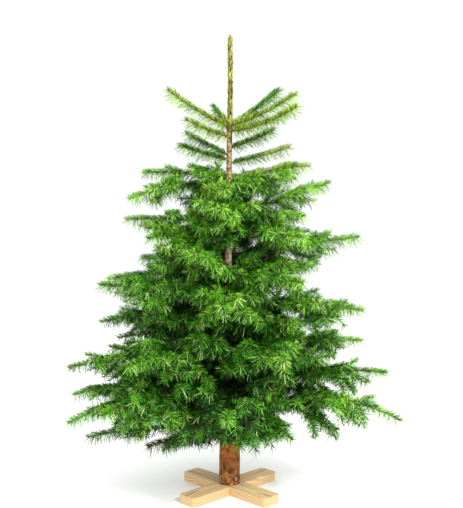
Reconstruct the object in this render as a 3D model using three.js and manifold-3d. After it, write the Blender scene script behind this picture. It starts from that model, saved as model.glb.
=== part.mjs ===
// A cut fir, as sold for a Christmas tree, standing in a plain wooden cross. Millimetres, +Z up.
// The origin is the middle of the cross's underside. The tree is seen from -Y.
// Bearings are in degrees, from +X (0) towards +Y (90).
import * as THREE from "three";
import { mergeVertices } from "three/addons/utils/BufferGeometryUtils.js";
import Module from "manifold-3d";

const wasm = await Module();
wasm.setup();

// Driving sizes of the trunk
const TREE_HEIGHT = 1600; // from the cut butt to the tip of the leader
const BUD_LENGTH = 14; // the pointed bud that ends the leader
const TRUNK_SIDES = 12;

// The trunk's line, from the cut up: height, radius, and how far its middle stands off plumb in X and Y
const TRUNK_LINE = [
  [0, 37.8, 0, 0], [100, 37.2, 0, 0], [318, 28, -1, 2], [614, 17.5, -4, 3], [771, 13.2, -5, 1],
  [1075, 10.6, -2, -2], [1275, 9.6, 0.5, 1], [1300, 6.8, 1.5, 1.5], [1400, 6.2, 3.5, 2], [1600, 5.2, 2, 1],
];

// Driving sizes of the stand: two halved boards with a hole for the turned end of the trunk
const BOARD_LENGTH = 420;
const BOARD_WIDTH = 76;
const BOARD_THICKNESS = 32;
const BOARD_CORNER = 7; // the sawn-off corners of a board's ends
const TENON_RADIUS = 21;
const STAND_TURN = 45; // degrees between the boards and the X and Y axes

const GAP = 0.3; // between pieces that touch

// Driving sizes of the boughs and the foliage
const FOLIAGE_START = 0.26; // share of a heavy bough's reach that is bare limb
const LIMB_SIDES = 6;
const LIMB_RINGS = 4;
const TIP_RADIUS = 1.6; // of a shoot under its end needles
const LIMB_TAPER = 0.009; // limb radius at its root, for each millimetre of reach
const LIMB_BASE = 2.3;
const SWEEP = 5; // most degrees that a bough bends sideways on its way out
const SIDE_SHARE = 0.6; // length of a side shoot, as a share of what is left of its parent
const SIDE_ANGLE = 52; // between a side shoot and its parent
const FAN_UP = 24; // one shoot of a pair rises by this, in turn left and right
const FAN_DOWN = 30; // and the other hangs by this
const SIDE_CURL = 0.28; // how far a side shoot bends towards its parent's direction
const SPRAY_ANGLE = 52; // between a spray of needles and its shoot

// Degrees round a twig, from its right over its top, of the sprays on its left, its underside and its right
const SPRAY_TURNS = [[142, 196], [252, 290], [-16, 38]];

const CLEARANCE = 1.2; // kept between the foliage of two masses
const LOWEST_FOLIAGE = 70; // above the floor

// The rings of boughs, from the leader down, as they show in the photograph.
// height: of the ring above the butt. age: years of growth, which is one more than the rings of side shoots.
// bow: how far the middle of a bough stands above the line from root to tip, as a share of its reach.
// lift: degrees that side shoots rise out of the bough's plane.
// pitch: spacing of the needle sprays along a shoot. spray: their length.
// limbs and shoots: bearing in degrees, reach from the trunk's middle, rise of the tip above the root,
// and step of the root off the ring. A limb is a piece of its own, and a shoot is one with its foliage.
const RINGS = [
  {
    name: "ring1", height: 1275, age: 1, bow: -0.05, lift: 0, pitch: 21, spray: 30,
    limbs: [],
    shoots: [
      [190, 215, 125, 0], [35, 208, 136, 6], [-14, 233, 104, 4], [-44, 316, 58, -12],
      [110, 146, 88, 2], [216, 173, 48, -32],
    ],
  },
  {
    name: "between", height: 1170, age: 1, bow: -0.02, lift: 0, pitch: 21, spray: 29,
    limbs: [],
    shoots: [[168, 157, 78, 6], [197, 178, 46, -10], [-28, 175, 53, 32], [6, 215, 59, -22]],
  },
  {
    name: "ring2", height: 1075, age: 2, bow: 0.05, lift: -10, pitch: 31, spray: 41,
    limbs: [],
    shoots: [
      [162, 319, 38, 4], [204, 364, -44, -8], [-14, 282, 61, 0], [72, 226, 24, 0],
      [268, 262, -20, -4],
    ],
  },
  {
    name: "ring3", height: 928, age: 3, bow: 0.025, lift: -8, pitch: 41, spray: 51,
    limbs: [],
    shoots: [
      [12, 372, 148, 4], [96, 332, 84, 12], [172, 370, 17, 4], [216, 322, -30, -8],
      [268, 310, 42, 20], [320, 319, -24, -14],
    ],
  },
  {
    name: "ring4", height: 771, age: 3, bow: 0.03, lift: -8, pitch: 48, spray: 59,
    limbs: [],
    shoots: [
      [4, 461, 109, 6], [50, 424, 122, 0], [150, 382, 29, 0], [182, 424, -30, -4],
      [256, 390, 50, 16], [314, 380, 0, -22],
    ],
  },
  {
    name: "ring5", height: 614, age: 4, bow: 0.05, lift: -6, pitch: 57, spray: 68,
    limbs: [[206, 464, 112, 6], [336, 481, 34, -4], [84, 450, 82, 0]],
    shoots: [[162, 481, -34, -12], [272, 440, 60, 20]],
  },
  {
    name: "ring6", height: 464, age: 4, bow: 0.05, lift: -6, pitch: 57, spray: 68,
    limbs: [[188, 565, -32, -6], [10, 496, 36, 0], [130, 512, 60, 6]],
    shoots: [[230, 500, 12, 16], [296, 480, 50, 12]],
  },
  {
    name: "ring7", height: 318, age: 4, bow: 0.07, lift: -6, pitch: 60, spray: 70,
    limbs: [[175, 574, -14, 0], [2, 570, 70, 4], [272, 520, 30, 8]],
    shoots: [[222, 540, 10, 8], [58, 536, 40, -6]],
  },
  {
    name: "ring8", height: 196, age: 4, bow: 0.14, lift: -8, pitch: 60, spray: 70,
    limbs: [[200, 580, 80, 3]],
    shoots: [[349, 603, 66, 6], [236, 392, 84, 6], [312, 320, 30, 0], [108, 560, 36, -6]],
  },
];

// Colours, roughness and metalness
const BARK = new THREE.MeshStandardMaterial({ color: 0x8f5a35, roughness: 0.85, metalness: 0 });
const BOUGH_BARK = new THREE.MeshStandardMaterial({ color: 0x8a6a3c, roughness: 0.85, metalness: 0 });
const NEEDLES = new THREE.MeshStandardMaterial({ color: 0x3f8a1e, roughness: 0.6, metalness: 0 });
const YOUNG_NEEDLES = new THREE.MeshStandardMaterial({ color: 0x83a32c, roughness: 0.6, metalness: 0 });
const PLAIN_WOOD = new THREE.MeshStandardMaterial({ color: 0xd0ad7c, roughness: 0.75, metalness: 0 });

const radians = THREE.MathUtils.degToRad;
const group = new THREE.Group();

// Numbers from 0 to 1 that depend only on the seed (the generator known as mulberry32)
function stream(seed) {
  let state = seed >>> 0;
  return () => {
    state = (state + 0x6d2b79f5) >>> 0;
    let mixed = Math.imul(state ^ (state >>> 15), state | 1);
    mixed ^= mixed + Math.imul(mixed ^ (mixed >>> 7), mixed | 61);
    return ((mixed ^ (mixed >>> 14)) >>> 0) / 4294967296;
  };
}

// Solids for cutting and joining, and meshes made from them
function solidOf(geometry) {
  const bare = geometry.clone();
  bare.deleteAttribute("normal");
  bare.deleteAttribute("uv");
  const merged = mergeVertices(bare, 1e-4);
  return new wasm.Manifold(new wasm.Mesh({
    numProp: 3,
    vertProperties: merged.attributes.position.array,
    triVerts: new Uint32Array(merged.index.array),
  }));
}

function solidFrom(points, faces) {
  return new wasm.Manifold(new wasm.Mesh({
    numProp: 3,
    vertProperties: new Float32Array(points.flatMap((p) => [p.x, p.y, p.z])),
    triVerts: new Uint32Array(faces.flat()),
  }));
}

// The largest closed body of a solid: drops loose scraps and fills hollows that joining has sealed.
function wholeBody(solid) {
  const bodies = solid.decompose();
  return bodies.reduce((a, b) => (b.volume() > a.volume() ? b : a));
}

function addMesh(name, solid, material) {
  const made = solid.getMesh();
  const geometry = new THREE.BufferGeometry();
  geometry.setAttribute("position", new THREE.BufferAttribute(made.vertProperties, 3));
  geometry.setIndex(new THREE.BufferAttribute(made.triVerts, 1));
  geometry.computeVertexNormals();
  const mesh = new THREE.Mesh(geometry, material);
  mesh.name = name;
  group.add(mesh);
}

// A closed tube through rings of equally many points, each ring listed anticlockwise as seen from the far end
function solidThroughRings(rings) {
  const sides = rings[0].length;
  const points = rings.flat();
  const faces = [];
  for (let i = 0; i < sides; i++) {
    const next = (i + 1) % sides;
    for (let k = 0; k + 1 < rings.length; k++) {
      const low = k * sides;
      const high = low + sides;
      faces.push([low + i, low + next, high + next], [low + i, high + next, high + i]);
    }
  }
  const last = (rings.length - 1) * sides;
  for (let i = 1; i + 1 < sides; i++) {
    faces.push([0, i + 1, i], [last, last + i, last + i + 1]);
  }
  return solidFrom(points, faces);
}

// Trunk: height counts from the butt, which stands on top of the stand.
function alongTrunk(height, column) {
  const above = TRUNK_LINE.findIndex((entry) => entry[0] > height);
  if (above < 1) return TRUNK_LINE.at(above)[column];
  const low = TRUNK_LINE[above - 1];
  const high = TRUNK_LINE[above];
  return low[column] + ((high[column] - low[column]) * (height - low[0])) / (high[0] - low[0]);
}

const trunkRadius = (height) => alongTrunk(height, 1);
const trunkMiddle = (height) => new THREE.Vector3(
  alongTrunk(height, 2),
  alongTrunk(height, 3),
  BOARD_THICKNESS + height,
);

function trunkRing(height, radius, z = BOARD_THICKNESS + height) {
  const middle = trunkMiddle(height);
  return Array.from({ length: TRUNK_SIDES }, (_, i) => {
    const turn = (2 * Math.PI * i) / TRUNK_SIDES;
    return new THREE.Vector3(middle.x + radius * Math.cos(turn), middle.y + radius * Math.sin(turn), z);
  });
}

// The trunk's solid, swollen a little at each ring of boughs. extra widens it for cutting other pieces clear.
function trunkSolid(extra = 0) {
  const tenon = TENON_RADIUS + extra;
  const rings = [trunkRing(0, tenon, 0), trunkRing(0, tenon, BOARD_THICKNESS + GAP - extra)];
  const knots = RINGS.filter((ring) => ring.name !== "between").map((ring) => ring.height);
  const bends = TRUNK_LINE.slice(1, -1).map(([height]) => height);
  const between = [...new Set([...bends, ...knots, ...knots.map((knot) => knot + 60)])].sort((a, b) => a - b);
  for (const height of [GAP - extra, ...between, TREE_HEIGHT - BUD_LENGTH]) {
    const swollen = knots.includes(height) ? 1.08 : 1;
    rings.push(trunkRing(height, trunkRadius(height) * swollen + extra));
  }
  rings.push(trunkRing(TREE_HEIGHT - 0.6 * BUD_LENGTH, trunkRadius(TREE_HEIGHT) * 1.15 + extra));
  rings.push(trunkRing(TREE_HEIGHT, 0.8 + extra));
  return solidThroughRings(rings);
}

// Stand: each board lies flat, with half its thickness cut away where the other crosses it.
function boardSolid(turn, cutTop) {
  const end = BOARD_LENGTH / 2;
  const edge = BOARD_WIDTH / 2;
  const outline = new THREE.Shape([
    new THREE.Vector2(-end, -edge + BOARD_CORNER), new THREE.Vector2(-end + BOARD_CORNER, -edge),
    new THREE.Vector2(end - BOARD_CORNER, -edge), new THREE.Vector2(end, -edge + BOARD_CORNER),
    new THREE.Vector2(end, edge - BOARD_CORNER), new THREE.Vector2(end - BOARD_CORNER, edge),
    new THREE.Vector2(-end + BOARD_CORNER, edge), new THREE.Vector2(-end, edge - BOARD_CORNER),
  ]);
  const board = solidOf(new THREE.ExtrudeGeometry(outline, { depth: BOARD_THICKNESS, bevelEnabled: false }));
  const halving = BOARD_THICKNESS / 2 + GAP / 2;
  const notch = new THREE.BoxGeometry(BOARD_WIDTH + 2 * GAP, 2 * BOARD_WIDTH, 2 * halving);
  notch.translate(0, 0, cutTop ? BOARD_THICKNESS : 0);
  return board.subtract(solidOf(notch)).rotate([0, 0, turn]);
}

function trunkHole() {
  const ring = (z) => trunkRing(0, TENON_RADIUS + GAP, z);
  return solidThroughRings([ring(-1), ring(BOARD_THICKNESS + 1)]);
}

// A bough's middle line, from the trunk's middle at share 0 to its tip at share 1
function boughLine(ring, bough, sweep) {
  const [bearing, reach, rise, step] = bough;
  const root = trunkMiddle(ring.height + step);
  return (share) => {
    const turn = radians(bearing + sweep * share * share);
    return new THREE.Vector3(
      root.x + reach * share * Math.cos(turn),
      root.y + reach * share * Math.sin(turn),
      root.z + rise * share + ring.bow * reach * 4 * share * (1 - share),
    );
  };
}

const tangentOf = (line, share) => line(share + 0.01).sub(line(share - 0.01)).normalize();

// The unit vectors across a shoot: right lies level, and top stands on both the shoot and right.
function acrossShoot(tangent) {
  const right = new THREE.Vector3().crossVectors(tangent, new THREE.Vector3(0, 0, 1)).normalize();
  const top = new THREE.Vector3().crossVectors(right, tangent).normalize();
  return { right, top };
}

// A shoot's plan: its line from share 0 to 1, its length and the radius of its wood.
function sideShoot(start, tangent, across, side, length, angle, lift, radius) {
  const outward = across.right.clone()
    .multiplyScalar(side * Math.cos(lift))
    .addScaledVector(across.top, Math.sin(lift));
  const leaving = tangent.clone().multiplyScalar(Math.cos(angle)).addScaledVector(outward, Math.sin(angle));
  const bend = tangent.clone().sub(leaving).multiplyScalar(0.5 * SIDE_CURL);
  const line = (share) => start.clone()
    .addScaledVector(leaving, length * share)
    .addScaledVector(bend, length * share * share);
  return { line, length, radius };
}

// The radius of a shoot's wood, which narrows evenly towards its tip
const radiusAt = (shoot, share) => TIP_RADIUS + (shoot.radius - TIP_RADIUS) * (1 - share);

// The side shoots of a parent shoot: a pair at each year's mark, the oldest and longest nearest the root.
function sideShoots(parent, marks, lift, chance) {
  const shoots = [];
  for (const [rank, mark] of marks.entries()) {
    const tangent = tangentOf(parent.line, mark);
    const across = acrossShoot(tangent);
    for (const side of [-1, 1]) {
      const fan = (rank % 2 ? side : -side) > 0 ? FAN_UP : -FAN_DOWN;
      const length = SIDE_SHARE * (1 - mark) * parent.length * (0.88 + 0.24 * chance());
      const angle = radians(SIDE_ANGLE + 12 * (chance() - 0.5));
      const raised = radians(lift + fan + 14 * (chance() - 0.5));
      const start = parent.line(mark + 0.02 * (chance() - 0.5));
      const radius = Math.max(TIP_RADIUS + 0.2, 0.55 * radiusAt(parent, mark));
      shoots.push(sideShoot(start, tangent, across, side, length, angle, raised, radius));
    }
  }
  return shoots;
}

// Shares of a bough's reach at which side shoots leave it, one for each year after its first
function yearMarks(ring) {
  const first = ring.age > 3 ? 0.35 : 0.3;
  const pairs = ring.age - 1;
  const shift = pairs === 1 ? 0.4 : 0;
  return Array.from({ length: pairs }, (_, k) => first + ((0.94 - first) * (k + shift)) / pairs);
}

// A shoot with its needles: a three-sided twig, each side drawn out into a pointed spray at each step
// On a bough in its first year every other spray of the underside is left out.
// from: share of the line where the twig starts. bare: tells whether a step at this share has no needles.
// extra widens everything, for testing that a shoot stays clear of its neighbours.
function needledShoot(shoot, ring, from, bare, extra = 0) {
  const steps = Math.max(2, Math.round(((1 - from) * shoot.length) / ring.pitch));
  const points = [];
  const faces = [];
  const stations = [];
  for (let k = 0; k <= steps; k++) {
    const share = from + ((1 - from) * k) / (steps + 0.6);
    const tangent = tangentOf(shoot.line, share);
    const { right, top } = acrossShoot(tangent);
    const around = (turn) => right.clone()
      .multiplyScalar(Math.cos(radians(turn)))
      .addScaledVector(top, Math.sin(radians(turn)));
    const radius = radiusAt(shoot, share) + extra;
    const corner = (turn) => shoot.line(share).addScaledVector(around(turn), radius);
    const corners = [90, 210, 330].map((turn) => points.push(corner(turn)) - 1);
    stations.push({ share, tangent, around, corners });
  }
  const root = stations[0].corners;
  faces.push([root[2], root[0], root[1]]);
  for (let k = 0; k < steps; k++) {
    const a = stations[k];
    const b = stations[k + 1];
    const length = ring.spray * (k === steps - 1 ? 0.8 : 1) + 2 * extra;
    for (const side of [0, 1, 2]) {
      const next = (side + 1) % 3;
      const base = [a.corners[side], b.corners[side], b.corners[next], a.corners[next]];
      const leftOut = side === 1 && k % 2 === 1 && ring.age === 1;
      if (leftOut || bare((a.share + b.share) / 2)) {
        faces.push([base[0], base[1], base[2]], [base[0], base[2], base[3]]);
        continue;
      }
      const turn = SPRAY_TURNS[side][k % 2];
      const tip = base.reduce((sum, i) => sum.addScaledVector(points[i], 0.25), new THREE.Vector3())
        .addScaledVector(a.tangent, length * Math.cos(radians(SPRAY_ANGLE)))
        .addScaledVector(a.around(turn), length * Math.sin(radians(SPRAY_ANGLE)));
      const top = points.push(tip) - 1;
      faces.push(...base.map((corner, i) => [corner, base[(i + 1) % 4], top]));
    }
  }
  const end = stations[steps];
  const tip = points.push(shoot.line(1).addScaledVector(end.tangent, extra)) - 1;
  for (const side of [0, 1, 2]) {
    faces.push([end.corners[side], tip, end.corners[(side + 1) % 3]]);
  }
  return solidFrom(points, faces);
}

// Whether two solids are clear of each other
function clear(a, b) {
  const boxA = a.boundingBox();
  const boxB = b.boundingBox();
  const apart = [0, 1, 2].some((i) => boxA.min[i] > boxB.max[i] || boxB.min[i] > boxA.max[i]);
  return apart || a.intersect(b).isEmpty();
}

// A bare limb: a tapered tube along its bough's line, from inside the trunk to where the foliage starts
function limbSolid(bough) {
  const first = (0.5 * trunkRadius(bough.ring.height)) / bough.reach;
  const rings = Array.from({ length: LIMB_RINGS }, (_, k) => {
    const share = first + ((FOLIAGE_START - first) * k) / (LIMB_RINGS - 1);
    const tangent = tangentOf(bough.line, share);
    const { right, top } = acrossShoot(tangent);
    const collar = k === 0 ? 1.25 : 1;
    const radius = collar * radiusAt(bough, share);
    return Array.from({ length: LIMB_SIDES }, (_, i) => {
      const turn = (2 * Math.PI * i) / LIMB_SIDES;
      return bough.line(share)
        .addScaledVector(right, radius * Math.cos(turn))
        .addScaledVector(top, -radius * Math.sin(turn));
    });
  });
  return solidThroughRings(rings);
}

// The plan of every bough
const boughs = RINGS.flatMap((ring, ringIndex) => [...ring.limbs, ...ring.shoots].map((bough, index) => {
  const chance = stream(100 * (ringIndex + 1) + index);
  const sweep = SWEEP * 2 * (chance() - 0.5);
  const line = boughLine(ring, bough, sweep);
  const reach = bough[1];
  const length = Math.hypot(reach, bough[2]);
  const radius = LIMB_BASE + LIMB_TAPER * reach;
  const hasLimb = index < ring.limbs.length;
  return { ring, label: `${ring.name}_${index + 1}`, hasLimb, reach, length, radius, line, chance };
}));

// Limbs: what the foliage may not touch
const trunk = trunkSolid();
const clearOfTrunk = trunkSolid(GAP);
const hole = trunkHole();
const boards = [
  { name: "stand_board_lower", solid: boardSolid(STAND_TURN, true).subtract(hole) },
  { name: "stand_board_upper", solid: boardSolid(STAND_TURN + 90, false).subtract(hole) },
];
const limbs = [trunk, ...boards.map((board) => board.solid)];
addMesh("trunk", trunk, BARK);
for (const board of boards) {
  addMesh(board.name, board.solid, PLAIN_WOOD);
}
for (const bough of boughs.filter((b) => b.hasLimb)) {
  bough.limb = wholeBody(limbSolid(bough).subtract(clearOfTrunk));
  limbs.push(bough.limb);
  addMesh(`bough_${bough.label}`, bough.limb, BOUGH_BARK);
}

// Stems: each mass of foliage starts as the needled end of its bough, bare where side shoots leave it.
for (const bough of boughs) {
  const { ring } = bough;
  const marks = yearMarks(ring);
  const inTrunk = (0.5 * trunkRadius(ring.height)) / bough.reach;
  const from = bough.hasLimb ? FOLIAGE_START + GAP / bough.length : inTrunk;
  const firstNeedles = ring.age > 3 ? FOLIAGE_START : (trunkRadius(ring.height) + 16) / bough.reach;
  const nearMark = (share) => marks.some((mark) => Math.abs(share - mark) * bough.length < 0.45 * ring.pitch);
  const stem = needledShoot(bough, ring, from, (share) => share < firstNeedles || nearMark(share));
  bough.mass = bough.hasLimb ? stem : wholeBody(stem.subtract(clearOfTrunk));
  bough.planned = sideShoots(bough, marks, ring.lift, bough.chance);
}

// Side shoots: each joins its mass, but is shortened or left out where it would touch a limb or another mass.
function joinShoot(bough, shoot) {
  const bareRoot = (share) => share * shoot.length < 13;
  for (const shorten of [1, 0.78, 0.58]) {
    const tried = { ...shoot, line: (share) => shoot.line(share * shorten), length: shoot.length * shorten };
    const guard = needledShoot(tried, bough.ring, 0, bareRoot, CLEARANCE);
    const blocked = guard.boundingBox().min[2] < LOWEST_FOLIAGE
      || limbs.some((limb) => !clear(guard, limb))
      || boughs.some((other) => other !== bough && !clear(guard, other.mass));
    if (blocked) continue;
    bough.mass = bough.mass.add(needledShoot(tried, bough.ring, 0, bareRoot));
    return;
  }
}

const mostShoots = Math.max(...boughs.map((bough) => bough.planned.length));
for (let rank = 0; rank < mostShoots; rank++) {
  for (const bough of boughs) {
    if (rank < bough.planned.length) joinShoot(bough, bough.planned[rank]);
  }
}

for (const bough of boughs) {
  const material = bough.ring.age === 1 ? YOUNG_NEEDLES : NEEDLES;
  addMesh(`foliage_${bough.label}`, wholeBody(bough.mass), material);
}

export default group;
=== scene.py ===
# %% [markdown]
# # A cut fir on its stand
#
# This notebook dresses a young fir, cut for a room and set in a wooden cross, in Blender. Its trunk, boughs,
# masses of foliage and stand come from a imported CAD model, and nothing here moves or resizes them. The model
# gives the outline of the crown. Here each mass gets its real twigs, needles and buds, and the wood its bark.

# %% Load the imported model
import math
import bmesh
import bpy
import numpy as np
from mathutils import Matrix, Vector, noise


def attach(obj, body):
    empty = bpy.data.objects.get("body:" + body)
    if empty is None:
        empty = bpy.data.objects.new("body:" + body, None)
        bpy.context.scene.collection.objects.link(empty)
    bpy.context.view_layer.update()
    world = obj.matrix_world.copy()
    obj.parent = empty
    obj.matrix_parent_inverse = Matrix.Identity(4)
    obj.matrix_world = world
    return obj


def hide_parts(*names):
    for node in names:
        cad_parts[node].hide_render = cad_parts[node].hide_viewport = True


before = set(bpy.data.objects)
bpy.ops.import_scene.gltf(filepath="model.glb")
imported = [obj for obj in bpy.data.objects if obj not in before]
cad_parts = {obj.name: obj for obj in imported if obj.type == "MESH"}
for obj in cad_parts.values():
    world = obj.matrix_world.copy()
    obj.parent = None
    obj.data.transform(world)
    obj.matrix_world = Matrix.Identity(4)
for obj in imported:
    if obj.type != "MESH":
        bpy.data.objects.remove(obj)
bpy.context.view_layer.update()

# %% [markdown]
# ## Sizes
#
# Lengths are in metres, and the tree's own table is in millimetres and degrees, as a forester would note them.
# A fir grows by the year: every spring the top shoot puts out one ring of boughs. So the table has one line for
# each ring, with its height above the cut, and one short list for each bough: its bearing, how far it reaches,
# how much its tip rises, and a small step up or down. These are the sizes that the model's own source uses.

# %% The tree's own sizes
MM = 0.001
TREE_HEIGHT = 1600 * MM
BUD_LENGTH = 14 * MM
BOARD_THICKNESS = 32 * MM

# The trunk's line, from the cut up: height, radius, and how far its middle stands off plumb in X and Y
TRUNK_LINE = np.array([
    (0, 37.8, 0, 0), (100, 37.2, 0, 0), (318, 28, -1, 2), (614, 17.5, -4, 3), (771, 13.2, -5, 1),
    (1075, 10.6, -2, -2), (1275, 9.6, 0.5, 1), (1300, 6.8, 1.5, 1.5), (1400, 6.2, 3.5, 2), (1600, 5.2, 2, 1),
]) * MM

# name, height, age, bow, lift, boughs that start with a bare limb, then boughs whose foliage starts at the trunk
RINGS = [
    ("ring1", 1275, 1, -0.05, 0, [],
     [(190, 215, 125, 0), (35, 208, 136, 6), (-14, 233, 104, 4), (-44, 316, 58, -12),
      (110, 146, 88, 2), (216, 173, 48, -32)]),
    ("between", 1170, 1, -0.02, 0, [],
     [(168, 157, 78, 6), (197, 178, 46, -10), (-28, 175, 53, 32), (6, 215, 59, -22)]),
    ("ring2", 1075, 2, 0.05, -10, [],
     [(162, 319, 38, 4), (204, 364, -44, -8), (-14, 282, 61, 0), (72, 226, 24, 0), (268, 262, -20, -4)]),
    ("ring3", 928, 3, 0.025, -8, [],
     [(12, 372, 148, 4), (96, 332, 84, 12), (172, 370, 17, 4), (216, 322, -30, -8),
      (268, 310, 42, 20), (320, 319, -24, -14)]),
    ("ring4", 771, 3, 0.03, -8, [],
     [(4, 461, 109, 6), (50, 424, 122, 0), (150, 382, 29, 0), (182, 424, -30, -4),
      (256, 390, 50, 16), (314, 380, 0, -22)]),
    ("ring5", 614, 4, 0.05, -6,
     [(206, 464, 112, 6), (336, 481, 34, -4), (84, 450, 82, 0)],
     [(162, 481, -34, -12), (272, 440, 60, 20)]),
    ("ring6", 464, 4, 0.05, -6,
     [(188, 565, -32, -6), (10, 496, 36, 0), (130, 512, 60, 6)],
     [(230, 500, 12, 16), (296, 480, 50, 12)]),
    ("ring7", 318, 4, 0.07, -6,
     [(175, 574, -14, 0), (2, 570, 70, 4), (272, 520, 30, 8)],
     [(222, 540, 10, 8), (58, 536, 40, -6)]),
    ("ring8", 196, 4, 0.14, -8,
     [(200, 580, 80, 3)],
     [(349, 603, 66, 6), (236, 392, 84, 6), (312, 320, 30, 0), (108, 560, 36, -6)]),
]
FOLIAGE_NODES = sorted(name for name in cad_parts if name.startswith("foliage_"))
LIMB_NODES = sorted(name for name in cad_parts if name.startswith("bough_"))
print(len(RINGS), "rings,", len(FOLIAGE_NODES), "masses of foliage,", len(LIMB_NODES), "bare limbs")

# %% [markdown]
# ## Camera and light
#
# The photograph is bright, with a white ground and soft light that comes mostly from the front right. An even
# white sky lights the tree from all round. A single sun would throw hard shadows that the photograph doesn't
# show, so three large round panels do the rest: a strong one at the right, a weak one across from it, and one
# behind for the other views. The camera has the photograph's viewing angle, three metres off and one metre up.

# %% Camera at the photograph's viewing angle
IMAGE_HEIGHT = 508
FOCAL_PIXELS = 844
SENSOR_WIDTH = 36
CAMERA_PLACE = (0.0071, -3.0, 1.032)
CAMERA_PITCH = 86.7

lens = bpy.data.cameras.new("camera")
lens.sensor_width = SENSOR_WIDTH
lens.lens = SENSOR_WIDTH * FOCAL_PIXELS / IMAGE_HEIGHT
camera = bpy.data.objects.new("camera", lens)
camera.location = CAMERA_PLACE
camera.rotation_euler = (math.radians(CAMERA_PITCH), 0, 0)
bpy.context.collection.objects.link(camera)
bpy.context.scene.camera = camera
bpy.context.scene.view_settings.view_transform = "Standard"
print("camera lens", round(lens.lens, 1), "mm")

# %% Soft light
SKY_STRENGTH = 1.06
AIMED_AT = Vector((0, 0, 0.8))
# name, place, diameter in metres and power in watts
PANELS = [
    ("key_panel", (1.9, -2.9, 3.0), 1.4, 180),
    ("fill_panel", (-2.4, -2.6, 1.6), 2.2, 30),
    ("back_panel", (-1.2, 3.4, 2.8), 2.4, 60),
]

world = bpy.data.worlds.new("soft_sky")
bpy.context.scene.world = world
world.use_nodes = True
world.node_tree.nodes["Background"].inputs["Color"].default_value = (1, 1, 1, 1)
world.node_tree.nodes["Background"].inputs["Strength"].default_value = SKY_STRENGTH
for name, place, size, power in PANELS:
    light = bpy.data.lights.new(name, "AREA")
    light.shape = "DISK"
    light.size = size
    light.energy = power
    panel = bpy.data.objects.new(name, light)
    panel.location = place
    panel.rotation_euler = (AIMED_AT - Vector(place)).to_track_quat("-Z", "Y").to_euler()
    bpy.context.collection.objects.link(panel)
print(len(PANELS), "light panels")

# %% [markdown]
# ## Helpers for materials
#
# A finish is a small network of nodes. Written out one node at a time it is hard to read, so one class wraps a
# socket and lets Python's own operators add the Math nodes, and another holds one material and adds any other
# node by its type, its settings and what goes into its sockets.

# %% Wrapping a socket
class Wire:
    """One output of a node. Sums, products and powers of wires are Math nodes."""

    def __init__(self, tree, socket):
        self.tree = tree
        self.socket = socket

    def maths(self, operation, first, second=0.0):
        made = self.tree.nodes.new("ShaderNodeMath")
        made.operation = operation
        for place, value in zip(made.inputs, (first, second)):
            feed(self.tree, place, value)
        return Wire(self.tree, made.outputs[0])

    def __add__(self, other):
        return self.maths("ADD", self, other)

    def __mul__(self, other):
        return self.maths("MULTIPLY", self, other)

    def __sub__(self, other):
        return self.maths("SUBTRACT", self, other)

    def __rsub__(self, other):
        return self.maths("SUBTRACT", other, self)

    def __pow__(self, other):
        return self.maths("POWER", self, other)

    def __rpow__(self, other):
        return self.maths("POWER", other, self)

    __radd__ = __add__
    __rmul__ = __mul__

    def fraction(self):
        return self.maths("FRACT", self)


def feed(tree, place, value):
    """Links a wire to a socket, or sets the socket's own value."""
    if isinstance(value, Wire):
        tree.links.new(value.socket, place)
    else:
        place.default_value = value


print("a wire takes + - * and ** with numbers and with other wires")

# %% One material
class Finish:
    """A material that is built up from nodes round one Principled shader."""

    def __init__(self, name, **sockets):
        self.material = bpy.data.materials.new(name)
        self.material.use_nodes = True
        self.tree = self.material.node_tree
        self.shader = self.tree.nodes["Principled BSDF"]
        self.set(**sockets)

    def set(self, **sockets):
        for name, value in sockets.items():
            feed(self.tree, self.shader.inputs[name.replace("_", " ")], value)

    def node(self, kind, settings=None, sockets=None, output=0):
        made = self.tree.nodes.new("ShaderNode" + kind)
        for name, value in (settings or {}).items():
            setattr(made, name, value)
        for name, value in (sockets or {}).items():
            feed(self.tree, made.inputs[name], value)
        return Wire(self.tree, made.outputs[output])

    def place(self):
        return self.node("TexCoord", output="Object")

    def part(self, vector, axis):
        return self.node("SeparateXYZ", sockets={0: vector}, output=axis)

    def stretch(self, vector, by):
        return self.node("VectorMath", {"operation": "MULTIPLY"}, {0: vector, 1: by})

    def grain(self, vector, scale, detail=4.0, roughness=0.5):
        return self.node("TexNoise", sockets={
            "Vector": vector, "Scale": scale, "Detail": detail, "Roughness": roughness})

    def band(self, value, low, high, start=0.0, end=1.0):
        return self.node("MapRange", {"interpolation_type": "SMOOTHSTEP"}, {
            "Value": value, "From Min": low, "From Max": high, "To Min": start, "To Max": end})

    def mix(self, share, first, second):
        """Two colours: a Mix node keeps its colours in the sockets 6 and 7, and gives theirs in 2."""
        return self.node("Mix", {"data_type": "RGBA"}, {"Factor": share, 6: first, 7: second}, 2)

    def bump(self, height, strength, distance):
        self.set(Normal=self.node("Bump", sockets={
            "Height": height, "Strength": strength, "Distance": distance}))


print("a finish can set, node, place, part, stretch, grain, band, mix and bump")

# %% Colours
def shade(red, green, blue):
    """A colour as a screen shows it, from 0 to 255, as the light values that a shader wants."""
    linear = [(v / 255 / 12.92) if v <= 10 else ((v / 255 + 0.055) / 1.055) ** 2.4 for v in (red, green, blue)]
    return (*linear, 1.0)


print("middle grey as light:", round(shade(128, 128, 128)[0], 3))

# %% [markdown]
# ## Growth
#
# The model grew its masses by a rule with seeded chances, and the finer twigs have to start from the same
# boughs. So the rule is written again here, draw for draw: the same small number generator, the same bent line
# for each bough and the same pairs of side shoots. Only what comes after it is new.

# %% Chances that depend only on a seed
WORD = 0xFFFFFFFF
SEED_STEP = 0x6D2B79F5


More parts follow.
